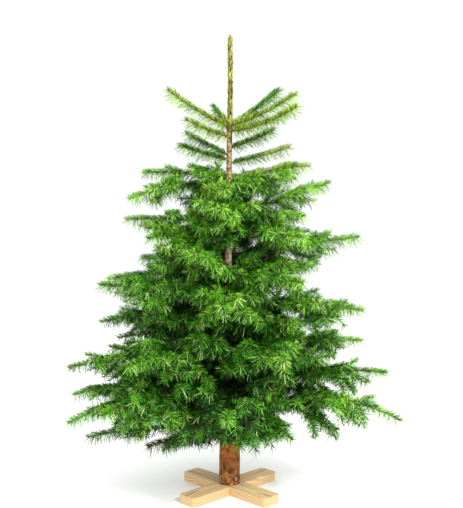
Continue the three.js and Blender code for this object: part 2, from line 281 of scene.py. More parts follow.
def stream(seed):
    """A source of numbers from 0 to 1 that gives the same row for the same seed, as it does in the model."""
    state = seed & WORD

    def chance():
        nonlocal state
        state = (state + SEED_STEP) & WORD
        mixed = ((state ^ (state >> 15)) * (state | 1)) & WORD
        mixed ^= (mixed + (((mixed ^ (mixed >> 7)) * (mixed | 61)) & WORD)) & WORD
        return ((mixed ^ (mixed >> 14)) & WORD) / (WORD + 1)

    return chance


def either_way(chance, width):
    """A lucky number round zero, at most half the width away."""
    return width * (chance() - 0.5)


print("first draws of seed 100:", [round(draw(), 4) for draw in [stream(100)] * 3])

# %% The trunk's middle and width, by height above the cut
def along_trunk(height, column):
    return np.interp(height, TRUNK_LINE[:, 0], TRUNK_LINE[:, column])


def trunk_radius(height):
    return along_trunk(height, 1)


def trunk_middle(height):
    return np.stack([along_trunk(height, 2), along_trunk(height, 3), BOARD_THICKNESS + height], axis=-1)


print("trunk radius in mm at the cut and at the tip:", np.round(trunk_radius([0.0, TREE_HEIGHT]) / MM, 1))

# %% A shoot: a bent line with a length and a width of wood
UP = np.array([0.0, 0.0, 1.0])
TIP_RADIUS = 1.6 * MM
NUDGE = 0.01


def unit(vectors):
    return vectors / np.linalg.norm(vectors, axis=-1, keepdims=True)


class Shoot:
    """line maps shares from 0, the root, to 1, the tip, to points. years is how many springs it has grown."""

    def __init__(self, line, length, radius, level, years):
        self.line = line
        self.length = length
        self.radius = radius
        self.level = level
        self.years = years
        self.start = 0.0

    def tangent(self, shares):
        return unit(self.line(shares + NUDGE) - self.line(shares - NUDGE))

    def frame(self, shares):
        tangent = self.tangent(shares)
        right = unit(np.cross(tangent, UP))
        return tangent, right, unit(np.cross(right, tangent))

    def wood(self, shares):
        return TIP_RADIUS + (self.radius - TIP_RADIUS) * (1 - shares)


print("a shoot's wood ends", TIP_RADIUS / MM, "mm in radius")

# %% The line of a bough
SWEEP = 5


def bough_line(ring, bough, sweep):
    """From the trunk's middle out, bowed up or down by the ring's bow and swept a little to one side."""
    bearing, reach, rise, step = bough
    root = trunk_middle(np.array((ring[1] + step) * MM))

    def line(shares):
        shares = np.asarray(shares, dtype=float)
        turn = np.radians(bearing + sweep * shares ** 2)
        out = reach * MM * shares
        high = rise * MM * shares + ring[3] * reach * MM * 4 * shares * (1 - shares)
        return root + np.stack([out * np.cos(turn), out * np.sin(turn), high], axis=-1)

    return line


print("tip of the first bough:", bough_line(RINGS[0], RINGS[0][6][0], 0.0)(1.0).round(3))

# %% One side shoot
SIDE_CURL = 0.28


def side_shoot(parent, mark, at, side, length, angle, lift, radius, years, droop=0.0):
    """Leaves its parent at an angle, then curls back towards its parent's way and hangs by its droop."""
    tangent, right, top = parent.frame(np.array(mark))
    outward = side * math.cos(lift) * right + math.sin(lift) * top
    leaving = math.cos(angle) * tangent + math.sin(angle) * outward
    bend = 0.5 * SIDE_CURL * (tangent - leaving) - droop * UP
    start = parent.line(np.array(at))

    def line(shares):
        shares = np.asarray(shares, dtype=float)[..., None]
        return start + leaving * length * shares + bend * length * shares ** 2

    return Shoot(line, length, radius, parent.level + 1, years)


print("side shoots turn", round(100 * SIDE_CURL), "percent of the way back to their parent's way")

# %% Pairs of side shoots, as in the model's source
SIDE_SHARE = 0.6
SIDE_ANGLE, ANGLE_LUCK = 52, 12
FAN_UP, FAN_DOWN, LIFT_LUCK = 24, 30, 14
SIDE_SHORTEST, SIDE_LUCK = 0.88, 0.24
PLACE_LUCK = 0.02
SIDE_WOOD, LEAST_MORE_WOOD = 0.55, 0.2 * MM
HANG_AT_ROOT = 0.3
LIMB_AGE = 4
FIRST_MARK, FIRST_MARK_ON_LIMB, LAST_MARK = 0.3, 0.35, 0.94
LONE_PAIR_SHIFT = 0.4


def year_marks(age):
    """Where the pair of each year leaves a bough, as shares of its length."""
    first = FIRST_MARK_ON_LIMB if age >= LIMB_AGE else FIRST_MARK
    pairs = age - 1
    shift = LONE_PAIR_SHIFT if pairs == 1 else 0
    return [first + (LAST_MARK - first) * (k + shift) / pairs for k in range(pairs)]


def side_shoots(parent, marks, lift, chance, share=SIDE_SHARE, droop=0.0):
    """A pair at each mark, one fanned up and one down by turns."""
    made = []
    for rank, mark in enumerate(marks):
        for side in (-1, 1):
            fan = FAN_UP if (side if rank % 2 else -side) > 0 else -FAN_DOWN
            length = share * (1 - mark) * parent.length * (SIDE_SHORTEST + SIDE_LUCK * chance())
            angle = math.radians(SIDE_ANGLE + either_way(chance, ANGLE_LUCK))
            raised = math.radians(lift + fan + either_way(chance, LIFT_LUCK))
            at = mark + either_way(chance, PLACE_LUCK)
            radius = max(TIP_RADIUS + LEAST_MORE_WOOD, SIDE_WOOD * float(parent.wood(np.array(mark))))
            years = len(marks) - rank
            hang = droop * (HANG_AT_ROOT + mark)
            made.append(side_shoot(parent, mark, at, side, length, angle, raised, radius, years, hang))
    return made


print("marks on a bough of four years:", [round(mark, 2) for mark in year_marks(4)])

# %% [markdown]
# ## Finer shoots
#
# The model stops at one set of side shoots on each bough. A real fir goes on: each side shoot is a small bough of
# its own, with a pair of shoots at each of its own years, and weaker shoots between the years. Each finer shoot
# stays shorter than what is left of its parent, so the crown never outgrows the model.

# %% Twigs along a side shoot
TWIG_STEP = 92 * MM
TWIG_SHARE = 0.4
TWIG_LEAST = 48 * MM
FIRST_TWIG, LAST_TWIG = 0.24, 0.9
TWIG_ANGLE, TWIG_ANGLE_LUCK = 46, 16
TWIG_LIFT_LUCK = 70
TWIG_SHORTEST, TWIG_LUCK = 0.85, 0.3
TWIG_PLACE_LUCK, FURTHEST_TWIG = 0.06, 0.97
TWIG_WOOD = 0.5
COUNT_LEAST, COUNT_LUCK, RANK_LUCK = 0.3, 0.7, 0.5


def twigs_on(parent, chance, droop, share):
    """Pairs of short twigs along a side shoot, the longest near its root."""
    made = []
    room = share * (LAST_TWIG - FIRST_TWIG) * parent.length / TWIG_STEP
    count = int(room + COUNT_LEAST + COUNT_LUCK * chance())
    for rank in range(count):
        mark = FIRST_TWIG + (LAST_TWIG - FIRST_TWIG) * (rank + RANK_LUCK * chance()) / count
        for side in (-1, 1):
            length = (TWIG_SHARE * (1 - mark) * parent.length + TWIG_LEAST) * (TWIG_SHORTEST + TWIG_LUCK * chance())
            angle = math.radians(TWIG_ANGLE + either_way(chance, TWIG_ANGLE_LUCK))
            raised = math.radians(either_way(chance, TWIG_LIFT_LUCK))
            at = min(FURTHEST_TWIG, mark + either_way(chance, TWIG_PLACE_LUCK))
            radius = max(TIP_RADIUS, TWIG_WOOD * float(parent.wood(np.array(mark))))
            made.append(side_shoot(parent, mark, at, side, length, angle, raised, radius, 1, droop))
    return made


print("a pair of twigs for each", round(TWIG_STEP / MM), "mm")

# %% A whole bough
FOLIAGE_START = 0.26
LIMB_BASE = 2.3 * MM
LIMB_TAPER = 0.009
BARK_GAP = 1 * MM
BETWEEN_SHARE = 0.5
BETWEEN_START = 0.03
LONG_ENOUGH = 70 * MM
FINER_SEEDS = 10000
USUAL_DROOP = 0.05
DROOP = {"ring5": 0.12, "ring6": 0.18, "ring7": 0.3, "ring8": 0.42, "skirt": 0.16}
THINNER = {"ring7": 0.7, "ring8": 0.6}


def grow_bough(seed, ring, bough):
    """The bough, its pairs of side shoots, the weaker ones between them, and their twigs."""
    chance = stream(seed)
    sweep = either_way(chance, 2 * SWEEP)
    name, height, age, _, lift = ring[:5]
    main = Shoot(bough_line(ring, bough, sweep), math.hypot(bough[1], bough[2]) * MM,
                 LIMB_BASE + LIMB_TAPER * bough[1] * MM, 0, age)
    at_the_bark = (float(trunk_radius(height * MM)) + BARK_GAP) / (bough[1] * MM)
    main.start = FOLIAGE_START if age >= LIMB_AGE else at_the_bark
    first = side_shoots(main, year_marks(age), lift, chance)
    finer = stream(FINER_SEEDS + seed)
    droop = DROOP.get(name, USUAL_DROOP)
    if age > 1:
        marks = year_marks(age) + [LAST_MARK]
        between = [] if name == "ring8" else [main.start + BETWEEN_START]
        between += [0.5 * (low + high) for low, high in zip(marks[:-2], marks[1:-1])]
        first += side_shoots(main, between, lift, finer, BETWEEN_SHARE, droop)
    shoots = [main] + first
    for shoot in first:
        if shoot.length > LONG_ENOUGH:
            shoots += twigs_on(shoot, finer, droop, THINNER.get(name, 1.0))
    for shoot in shoots:
        shoot.ring = name
    return shoots


boughs = [grow_bough(100 * (ring_index + 1) + index, ring, bough)
          for ring_index, ring in enumerate(RINGS) for index, bough in enumerate(ring[5] + ring[6])]
ring_boughs = len(boughs)
print(ring_boughs, "boughs in rings, with", sum(len(bough) for bough in boughs), "shoots")

# %% [markdown]
# ## Weaker boughs
#
# Between two rings the trunk carries weaker boughs, which fill the crown near the trunk. They are shared out round
# the trunk by the golden angle, as buds are, and reach part of the way to the crown's edge. Drawing each one by
# hand would follow the photograph no better, because they hardly show. Only a few do: a skirt of short ones that
# closes the crown from below, and four whose tips stand apart at the left edge. Those have lines of their own.

# %% Boughs between the rings
GOLDEN_DEGREES = 137.508
BEARING_LUCK = 20
PER_GAP = [5, 8, 10, 10, 10, 9]
FIRST_STEP, STEP_LUCK = 0.3, 0.4
INNER_REACH, REACH_LUCK = 0.36, 0.34
INNER_CLIMB, CLIMB_LUCK = 6, 26
HEADROOM, HEADROOM_BY_REACH = 0.8, 0.1
SHORT_BOUGH = 230
INNER_BOW = 0.02
INNER_SEEDS = 5000

luck = stream(55)
reaches = [(ring[1], max(bough[1] for bough in ring[5] + ring[6])) for ring in RINGS if ring[0] != "between"]
order = 0
for (high, high_reach), (low, low_reach), many in zip(reaches[1:-1], reaches[2:], PER_GAP):
    for k in range(many):
        share = (k + FIRST_STEP + STEP_LUCK * luck()) / many
        height = high + (low - high) * share
        reach = (high_reach + (low_reach - high_reach) * share) * (INNER_REACH + REACH_LUCK * luck())
        climb = reach * math.tan(math.radians(INNER_CLIMB + CLIMB_LUCK * luck()))
        rise = min(climb, HEADROOM * (high - height) + HEADROOM_BY_REACH * reach)
        bearing = GOLDEN_DEGREES * order + BEARING_LUCK * luck()
        ring = ("inner", height, 2 if reach < SHORT_BOUGH else 3, INNER_BOW, 0)
        boughs.append(grow_bough(INNER_SEEDS + order, ring, (bearing, reach, rise, 0)))
        order += 1
print(order, "boughs between the rings")

# %% The skirt, and the tips that stand apart
SKIRT_SEEDS, TIP_SEEDS = 7000, 8000
TIP_BOW = 0.03
SKIRT_RING = ("skirt", 176, 2, 0.1, -4)
SKIRT = [(258, 120, 14, 0), (286, 116, 0, 10), (232, 150, 44, 40), (312, 190, 24, 30), (200, 150, 26, 46),
         (340, 180, -10, 30), (24, 190, -30, 10), (80, 170, -30, 0), (140, 190, -34, 10)]
# height, bearing, reach and rise
TIPS_APART = [(1062, 184, 290, 0), (545, 183, 390, -14), (196, 190, 500, 2), (196, 222, 340, -6)]

for k, bough in enumerate(SKIRT):
    boughs.append(grow_bough(SKIRT_SEEDS + k, SKIRT_RING, bough))
for k, (height, bearing, reach, rise) in enumerate(TIPS_APART):
    boughs.append(grow_bough(TIP_SEEDS + k, ("inner", height, 2, TIP_BOW, 0), (bearing, reach, rise, 0)))
print(len(SKIRT), "boughs in the skirt and", len(TIPS_APART), "with tips apart")

# %% [markdown]
# ## Windows and gaps
#
# The photograph shows bare trunk above the second ring and through a window above the fourth, so no shoot finer
# than a bough grows across those on the side to the viewer. A shoot that would keep the light off the trunk in
# the lower window goes too, and so do the boughs' own needles in a window. Sky shows through a few gaps at the
# crown's left edge. Holes cut in the needles there would leave straight edges against the sky, so only whole
# shoots are left out, at any depth.

# %% What the camera sees inside a box
# Left, right, low and high side of each box, given where the trunk stands
WINDOWS = np.array([(-22, 18, 816, 874), (-13, 11, 1112, 1290)]) * MM
SKY_GAPS = np.array([(-396, -288, 793, 822), (-293, -230, 996, 1042), (-296, -258, 870, 922)]) * MM
VIEWER_SIDE = -8 * MM


def in_boxes(points, boxes):
    """Which points the camera sees inside any of these boxes."""
    nearer = CAMERA_PLACE[1] / (CAMERA_PLACE[1] - points[:, 1])
    sideways = CAMERA_PLACE[0] + (points[:, 0] - CAMERA_PLACE[0]) * nearer
    upward = CAMERA_PLACE[2] + (points[:, 2] - CAMERA_PLACE[2]) * nearer
    inside = np.zeros(len(points), dtype=bool)
    for left, right, low, high in boxes:
        inside |= (sideways > left) & (sideways < right) & (upward > low) & (upward < high)
    return inside


def in_window(points):
    return in_boxes(points, WINDOWS) & (points[:, 1] < VIEWER_SIDE)


print(len(WINDOWS), "windows and", len(SKY_GAPS), "gaps of sky")

# %% Leaving shoots out
LIT_SPOT = np.array([-5, 0, 850]) * MM
LIGHT_WAYS = unit(np.array([(0.5, -0.8, 0.58), (0.3, -0.93, 0.3), (0.05, -1.0, 0.05)]))
LIGHT_FROM, LIGHT_REACH, LIGHT_WIDTH = 8 * MM, 300 * MM, 26 * MM
MOST_IN_GAP = 0.2
PAST_THE_TIP = 1.1


def stands_in_the_way(shoot):
    """Whether a shoot crosses a window or a gap, or keeps the light off the trunk in the lower window."""
    points = shoot.line(np.linspace(0.0, PAST_THE_TIP, 12))
    away = points - LIT_SPOT
    for way in LIGHT_WAYS:
        along = away @ way
        aside = np.linalg.norm(away - along[:, None] * way, axis=1)
        if ((along > LIGHT_FROM) & (along < LIGHT_REACH) & (aside < LIGHT_WIDTH)).any():
            return True
    return bool(in_window(points).any()) or in_boxes(points, SKY_GAPS).mean() > MOST_IN_GAP


for bough in boughs[ring_boughs:]:
    if stands_in_the_way(bough[0]):
        bough.clear()
all_shoots = [shoot for bough in boughs for shoot in bough if shoot.level == 0 or not stands_in_the_way(shoot)]
print(ring_boughs, "boughs in rings,", len(boughs) - ring_boughs, "weaker ones,", len(all_shoots), "shoots,",
      round(sum(s.length for s in all_shoots), 1), "m of wood in all")

# %% [markdown]
# ## Pieces
#
# A mesh can be made vertex by vertex in Blender, but there are more than four hundred thousand needles, so every
# piece is worked out as whole arrays of numbers and handed over at once.

# %% Making a piece from arrays
def add_piece(name, points, faces, finish, nodes=(), smooth=True):
    mesh = bpy.data.meshes.new(name)
    corners = faces.shape[1]
    mesh.vertices.add(len(points))
    mesh.vertices.foreach_set("co", np.asarray(points, dtype=np.float32).ravel())
    mesh.loops.add(faces.size)
    mesh.loops.foreach_set("vertex_index", np.asarray(faces, dtype=np.int32).ravel())
    mesh.polygons.add(len(faces))
    mesh.polygons.foreach_set("loop_start", np.arange(0, faces.size, corners, dtype=np.int32))
    mesh.polygons.foreach_set("use_smooth", np.full(len(faces), smooth))
    mesh.materials.append(finish.material)
    mesh.update(calc_edges=True)
    mesh.validate()
    piece = bpy.data.objects.new(name, mesh)
    bpy.context.collection.objects.link(piece)
    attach(piece, "root")
    if nodes:
        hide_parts(*nodes)
    print(f"{name}: {len(faces) * (corners - 2)} triangles")


print("pieces come from arrays of points and of faces")

# %% Tubes through rings of points
def tube(middles, across, over, radii, sides):
    """A closed tube: across and over are the unit vectors of each ring, and both ends close in a point."""
    turn = 2 * np.pi * np.arange(sides) / sides
    radii = np.asarray(radii)
    if radii.ndim == 1:
        radii = radii[:, None]
    rings = (middles[:, None, :]
             + (radii * np.cos(turn))[..., None] * across[:, None, :]
             + (radii * np.sin(turn))[..., None] * over[:, None, :])
    count = len(middles)
    points = np.concatenate([rings.reshape(-1, 3), middles[[0, -1]]])
    side = np.arange(sides)
    after = (side + 1) % sides
    low = (np.arange(count - 1)[:, None] * sides + side).ravel()
    nxt = (np.arange(count - 1)[:, None] * sides + after).ravel()
    around = np.concatenate([np.stack([low, nxt, nxt + sides], 1), np.stack([low, nxt + sides, low + sides], 1)])
    last = (count - 1) * sides
    foot = np.stack([np.full(sides, count * sides), after, side], 1)
    head = np.stack([np.full(sides, count * sides + 1), last + side, last + after], 1)
    return points, np.concatenate([around, foot, head])


def upright(count):
    """The unit vectors of a tube's rings that all lie level."""
    return np.tile([1.0, 0.0, 0.0], (count, 1)), np.tile([0.0, 1.0, 0.0], (count, 1))


def join(parts):
    """Several lots of points and faces as one."""
    sizes = np.cumsum([0] + [len(points) for points, _ in parts])
    return (np.concatenate([points for points, _ in parts]),
            np.concatenate([faces + size for (_, faces), size in zip(parts, sizes)]))


print("a tube of 3 rings and 4 sides has", len(tube(np.outer(range(3), UP), *upright(3), [1, 1, 1], 4)[1]), "faces")

# %% [markdown]
# ## Finishes of the needles
#
# Needles of a fir are waxy and glossy above, and each differs a little from the next. The random number that
# Blender gives to each loose part of a mesh is one for each needle, so it lightens or darkens the base colour.
# Older needles are deep green, this year's are fresh, the top's are almost yellow, and some show pale undersides.
# A few in every patch are painted almost white, a painted highlight that a gloss alone would show only from some
# sides.

# %% Needle finishes
NEEDLE_COLOURS = {
    # The shaded colour is painted shade, for sprays deep in the crown
    "shaded": (15, 46, 3),
    "deep": (29, 80, 4),
    "mature": (48, 118, 6),
    "green": (81, 146, 19),
    "fresh": (113, 171, 42),
    "young": (136, 156, 38),
    "fringe": (122, 164, 64),
    "pale": (148, 188, 110),
    "leader": (134, 132, 34),
}
USUAL_DARK = 0.14
DARK = {"young": 0.5, "fringe": 0.5}
LIGHT, LIGHT_MORE = 1.36, 6
# A glint is a painted highlight, weaker on the darker kinds
GLINT, GLINT_MORE = 0.9, (98, 100, 84)
GLINT_STRENGTH = {"shaded": 0.5, "deep": 0.65, "mature": 0.85}
PATCHES_PER_METRE = 34.0
# Where luck, with a share of the patch that a needle is in, turns dark to light, and light to a glint, a painted
# highlight
PATCH_SHARE, TONES, GLINTS = 0.4, (0.46, 0.92), (1.38, 1.44)
WAXY, DULLER = 0.34, 0.2


def needle_finish(name, colour):
    """Each needle lies between a dark and a light form of the colour, and the luckiest ones get a painted highlight.
    """
    finish = Finish("needles_" + name, Specular_IOR_Level=0.24)
    strength = GLINT_STRENGTH.get(name, 1.0)
    dark = shade(*[DARK.get(name, USUAL_DARK) * v for v in colour])
    light = shade(*[min(255, LIGHT * v + LIGHT_MORE) for v in colour])
    glint = shade(*[min(255, GLINT * v + strength * more) for v, more in zip(colour, GLINT_MORE)])
    each = finish.node("NewGeometry", output="Random Per Island")
    patch = finish.grain(finish.place(), PATCHES_PER_METRE, 2.0)
    usual = finish.mix(finish.band(each + PATCH_SHARE * patch, *TONES), dark, light)
    finish.set(Base_Color=finish.mix(finish.band(each + patch, *GLINTS), usual, glint))
    finish.set(Roughness=WAXY + DULLER * patch)
    return finish


needle_finishes = {name: needle_finish(name, colour) for name, colour in NEEDLE_COLOURS.items()}
print(len(needle_finishes), "needle finishes")

# %% [markdown]
# ## Finishes of the wood
#
# Bark is never one colour. Twigs have fine streaks, and the trunk changes on its way up: red-brown with scuffs at
# the butt, grey where it is seen among the boughs, lighter above the fourth ring as painted light where it shows
# through the window, and olive at the leader, the top shoot of this year. Each of those is a mottle of a dark and a
# light colour, and soft bands of height mix one into the next. At the first ring of boughs a dark band is partly
# bud-scale scars and partly painted shade. Painted textures would do it too, but noise in the object's own space
# needs no unwrapped mesh.

# %% Twigs and buds
STREAKS_PER_METRE = 160.0
STREAK_EDGES = (0.35, 0.65)
STREAK_DEPTH = 0.6 * MM


def twig_finish(name, light, dark):
    finish = Finish(name, Roughness=0.7)
    streak = finish.grain(finish.place(), STREAKS_PER_METRE, 3.0)
    finish.set(Base_Color=finish.mix(finish.band(streak, *STREAK_EDGES), shade(*dark), shade(*light)))
    finish.bump(streak, 0.3, STREAK_DEPTH)
    return finish


old_wood = twig_finish("old_twig_bark", (124, 98, 66), (66, 50, 34))
young_wood = twig_finish("young_twig_bark", (134, 120, 44), (96, 84, 28))
bud_scale = twig_finish("bud_scales", (168, 134, 64), (124, 94, 44))
print("finishes:", old_wood.material.name, young_wood.material.name, bud_scale.material.name)

# %% The trunk's bark
# Where the mottle turns from dark to light, and those two colours, for each part of the trunk
BARKS = {
    "butt": (0.36, 0.64, (66, 34, 12), (158, 96, 40)),
    "middle": (0.42, 0.58, (100, 80, 44), (194, 174, 126)),
    # Painted light: the trunk is lighter where it shows through the window among the boughs
    "window_light": (0.38, 0.62, (128, 108, 76), (212, 198, 152)),
    "leader": (0.3, 0.7, (84, 80, 16), (128, 122, 32)),
}
# Heights above the floor in metres between which one look gives way to the next
MIDDLE_FROM = (0.3, 0.75)
# Where the painted light on the trunk in the window begins and ends
WINDOW_LIGHT_FROM, WINDOW_LIGHT_TO = (0.74, 0.8), (0.9, 0.98)
LEADER_FROM = (1.24, 1.34)
# A dark band at the first ring of boughs: partly bud-scale scars, partly painted shade where the boughs meet the trunk
SCAR_AND_SHADE_FROM, SCAR_AND_SHADE_TO = (1.288, 1.304), (1.308, 1.33)
SCUFFED_TO = (0.036, 0.1)
WARM_FROM, WARM_TO = (0.12, 0.15), (0.17, 0.2)
SCAR_AND_SHADE, SCUFF, WARM, WRINKLE = shade(58, 54, 8), shade(196, 156, 112), shade(206, 120, 36), shade(70, 40, 20)
# Scale, detail and roughness of the noises, and how far the fine one is drawn out up the trunk
MOTTLE, BROAD, FINE, FINE_STRETCH = (84.0, 5.0, 0.65), (30.0, 2.0), (260.0, 4.0), (1, 1, 0.35)
BARK_DEPTH = 1.5 * MM


def trunk_finish():
    finish = Finish("trunk_bark", Roughness=0.8, Specular_IOR_Level=0.3)
    place = finish.place()
    height = finish.part(place, 2)
    mottle = finish.grain(place, *MOTTLE)
    fine = finish.grain(finish.stretch(place, FINE_STRETCH), *FINE)
    patchy = 0.75 * finish.grain(place, *BROAD) + 0.25 * mottle
    bark = {name: finish.mix(finish.band(patchy if name == "butt" else mottle, low, high), shade(*dark), shade(*light))
            for name, (low, high, dark, light) in BARKS.items()}
    # Painted light on the trunk in the window above the fourth ring
    window_light = finish.band(height, *WINDOW_LIGHT_FROM) - finish.band(height, *WINDOW_LIGHT_TO)
    colour = finish.mix(finish.band(height, *MIDDLE_FROM), bark["butt"], bark["middle"])
    colour = finish.mix(window_light, colour, bark["window_light"])
    colour = finish.mix(finish.band(height, *LEADER_FROM), colour, bark["leader"])
    # Painted shade, with the bud-scale scars, where the first ring of boughs meets the trunk
    scar_and_shade = finish.band(height, *SCAR_AND_SHADE_FROM, 0.0, 0.75) - finish.band(height, *SCAR_AND_SHADE_TO, 0.0, 0.75)
    colour = finish.mix(scar_and_shade, colour, SCAR_AND_SHADE)
    scuffed = finish.band(height, *SCUFFED_TO, 0.9, 0.0) * finish.band(mottle, 0.5, 0.6)
    colour = finish.mix(scuffed, colour, SCUFF)
    warm = finish.band(height, *WARM_FROM, 0.0, 0.7) - finish.band(height, *WARM_TO, 0.0, 0.7)
    colour = finish.mix(warm * finish.band(mottle, 0.4, 0.6), colour, WARM)
    finish.set(Base_Color=finish.mix(finish.band(fine, 0.45, 0.75, 0.0, 0.4), colour, WRINKLE))
    finish.bump(mottle * 0.6 + fine * 0.4, 0.5, BARK_DEPTH)
    return finish


trunk_bark = trunk_finish()
print(len(trunk_bark.tree.nodes), "nodes in the trunk's finish")

# %% [markdown]
# ## Trunk
#
# The trunk runs whole from the cut to the top bud. Its bark is smooth for a conifer, with low blisters, fine
# upright wrinkles and a swollen collar at each ring of boughs. The relief is real: every vertex is moved in or
# out by noise, by the collars and by the knot that shows near the cut. A bump alone would leave its edge smooth.

# %% The trunk's relief
TRUNK_SIDES = 48
TRUNK_STEP = 6 * MM
COLLAR, WEAK_COLLAR, COLLAR_HEIGHT = 0.1, 0.06, 14 * MM
RELIEF = 1.1 * MM
WRINKLES, BLISTERS, BLISTER_FLOOR = 0.6, 1.6, 0.25
NOISE_UP = 9
WRINKLE_ACROSS, WRINKLE_UP = 7, 1.4
BLISTER_SCALE, BLISTER_SHIFT = 3.1, Vector((7, 3, 1))
KNOT_HEIGHT, KNOT_BEARING = 114 * MM, -79
KNOT_RADIUS, KNOT_RIM = 6 * MM, 2.6 * MM
EYE_DEPTH, EYE_WIDTH = 1.6 * MM, 3 * MM


def bark_radii(heights, turn):
    """The trunk's radius at each height and bearing, with collars, wrinkles, blisters and the knot."""
    radii = np.repeat(trunk_radius(heights)[:, None], len(turn), axis=1)
    for ring in RINGS:
        collar = WEAK_COLLAR if ring[0] == "between" else COLLAR
        radii *= 1 + collar * np.exp(-((heights - ring[1] * MM) / COLLAR_HEIGHT) ** 2)[:, None]
    for row, height in enumerate(heights):
        thick = radii[row, 0] / trunk_radius(0.0)
        for column, angle in enumerate(turn):
            spot = Vector((math.cos(angle), math.sin(angle), height * NOISE_UP))
            wrinkle = noise.noise(Vector((spot.x * WRINKLE_ACROSS, spot.y * WRINKLE_ACROSS, spot.z * WRINKLE_UP)))
            blister = max(0.0, noise.noise(spot * BLISTER_SCALE + BLISTER_SHIFT) - BLISTER_FLOOR)
            radii[row, column] += RELIEF * thick * (WRINKLES * wrinkle + BLISTERS * blister)
    off = np.abs((turn - math.radians(KNOT_BEARING) + np.pi) % (2 * np.pi) - np.pi)[None, :] * trunk_radius(0.0)
    away = np.hypot(off, heights[:, None] - KNOT_HEIGHT)
    rim = KNOT_RIM * np.exp(-((away - KNOT_RADIUS) / KNOT_RIM) ** 2)
    eye = EYE_DEPTH * np.exp(-(away / EYE_WIDTH) ** 2)
    return radii + (rim - eye)


print("relief of at most", RELIEF / MM, "mm, and a knot of", KNOT_RIM / MM, "mm")

# %% The trunk's mesh
CUT_CLEAR = 0.3 * MM
TENON_RADIUS = 21 * MM
TENON_SIDES = 32


def trunk_part():
    low, high = CUT_CLEAR, TREE_HEIGHT - BUD_LENGTH
    heights = np.linspace(low, high, int((high - low) / TRUNK_STEP))
    turn = 2 * np.pi * np.arange(TRUNK_SIDES) / TRUNK_SIDES
    return tube(trunk_middle(heights), *upright(len(heights)), bark_radii(heights, turn), TRUNK_SIDES)


def tenon_part():
    ends = np.array([[0, 0, 0.0], [0, 0, BOARD_THICKNESS + CUT_CLEAR]]) + trunk_middle(np.array(0.0)) * [1, 1, 0]
    return tube(ends, *upright(2), [TENON_RADIUS, TENON_RADIUS], TENON_SIDES)


points, faces = join([trunk_part(), tenon_part()])
add_piece("trunk_with_bark", points, faces, trunk_bark, ["trunk"])

# %% [markdown]
# ## Limbs and twigs
#
# A bough starts as thick grey-brown wood and ends as a thin orange-olive twig. Each shoot is one tapering tube.
# Boughs get more sides and a little relief, and the finest twigs only three sides, as they are two millimetres
# thick and almost hidden by needles. Old and young wood are two pieces, so that each has its own colour.

# %% Twigs
BASE_SWELL, BASE_SWELL_OVER = 0.25, 0.05
ROOT_DEPTH = 12 * MM
WOBBLE_ALONG, WOBBLE_ROUND, WOBBLE_BY_LENGTH = 40, 1.7, 90


def twig_tube(shoot, low, high, sides, steps, relief=0.0):
    """The wood of a shoot between two shares of its length. A bough swells where it meets the trunk."""
    shares = np.linspace(low, high, steps)
    tangent, right, top = shoot.frame(shares)
    radii = shoot.wood(shares)
    if shoot.level == 0:
        radii = radii * (1 + BASE_SWELL * np.exp(-shares / BASE_SWELL_OVER))
    if relief:
        by_length = shoot.length * WOBBLE_BY_LENGTH
        wobble = np.array([[noise.noise(Vector((share * WOBBLE_ALONG, side * WOBBLE_ROUND, by_length)))
                            for side in range(sides)] for share in shares])
        radii = radii[:, None] * (1 + relief * wobble)
    return tube(shoot.line(shares), right, -top, radii, sides)


old_parts = []
young_parts = []
for shoot in all_shoots:
    if shoot.level == 0:
        root = ROOT_DEPTH / shoot.length
        if shoot.years > 1:
            old_parts.append(twig_tube(shoot, root, 0.8, sides=8, steps=18, relief=0.14))
            young_parts.append(twig_tube(shoot, 0.79, 1.0, sides=5, steps=4))
        else:
            young_parts.append(twig_tube(shoot, root, 1.0, sides=7, steps=10, relief=0.08))
    elif shoot.years > 1:
        old_parts.append(twig_tube(shoot, 0.0, 0.6, sides=4, steps=4))
        young_parts.append(twig_tube(shoot, 0.59, 1.0, sides=3, steps=3))
    else:
        young_parts.append(twig_tube(shoot, 0.0, 1.0, sides=3, steps=3))
points, faces = join(old_parts)
add_piece("old_twigs", points, faces, old_wood, LIMB_NODES + FOLIAGE_NODES)
points, faces = join(young_parts)
add_piece("young_twigs", points, faces, young_wood)

# %% [markdown]
# ## Buds
#
# Every shoot ends in a small pointed bud under dry scales. A bough's own bud has one at each side, and the leader's
# has a crown of five, which will be next year's ring of boughs. Most buds are two or three millimetres thick and
# half hidden, so a short closed tube with four or five sides is enough for each.

# %% Buds
# Length and radius, and for the simplest one also its sides, and the shares and widths of its rings
TWIG_BUD = (5 * MM, 1.7 * MM, 4, (0.2, 0.6), (1.0, 0.9))
BOUGH_BUD = (7 * MM, 2.3 * MM)
SIDE_BUD = (6 * MM, 1.9 * MM)
TOP_BUD = (BUD_LENGTH + 1 * MM, 5.2 * MM)
CROWN_BUD = (8 * MM, 2.4 * MM)
CROWN_BUDS = 5
# Not quite upright, so that an upright bud has a sideways direction too
NEAR_UP = UP + [0.01, 0.02, 0.0]
SIDE_BUD_BACK, SIDE_BUD_SPREAD = 2 * MM, 0.8
CROWN_BUD_BACK, CROWN_BUD_SPREAD = 3 * MM, 0.7


def bud(foot, along, length, radius, sides=5, shares=(0.0, 0.3, 0.62, 0.88), widths=(0.7, 1.0, 0.82, 0.34)):
    """A small spindle of scales at a shoot's end."""
    along = unit(along)
    right = unit(np.cross(along, NEAR_UP))
    over = np.cross(right, along)
    middles = foot + along * (length * np.array(shares))[:, None]
    rows = (len(shares), 1)
    return tube(middles, np.tile(right, rows), np.tile(-over, rows), radius * np.array(widths), sides)


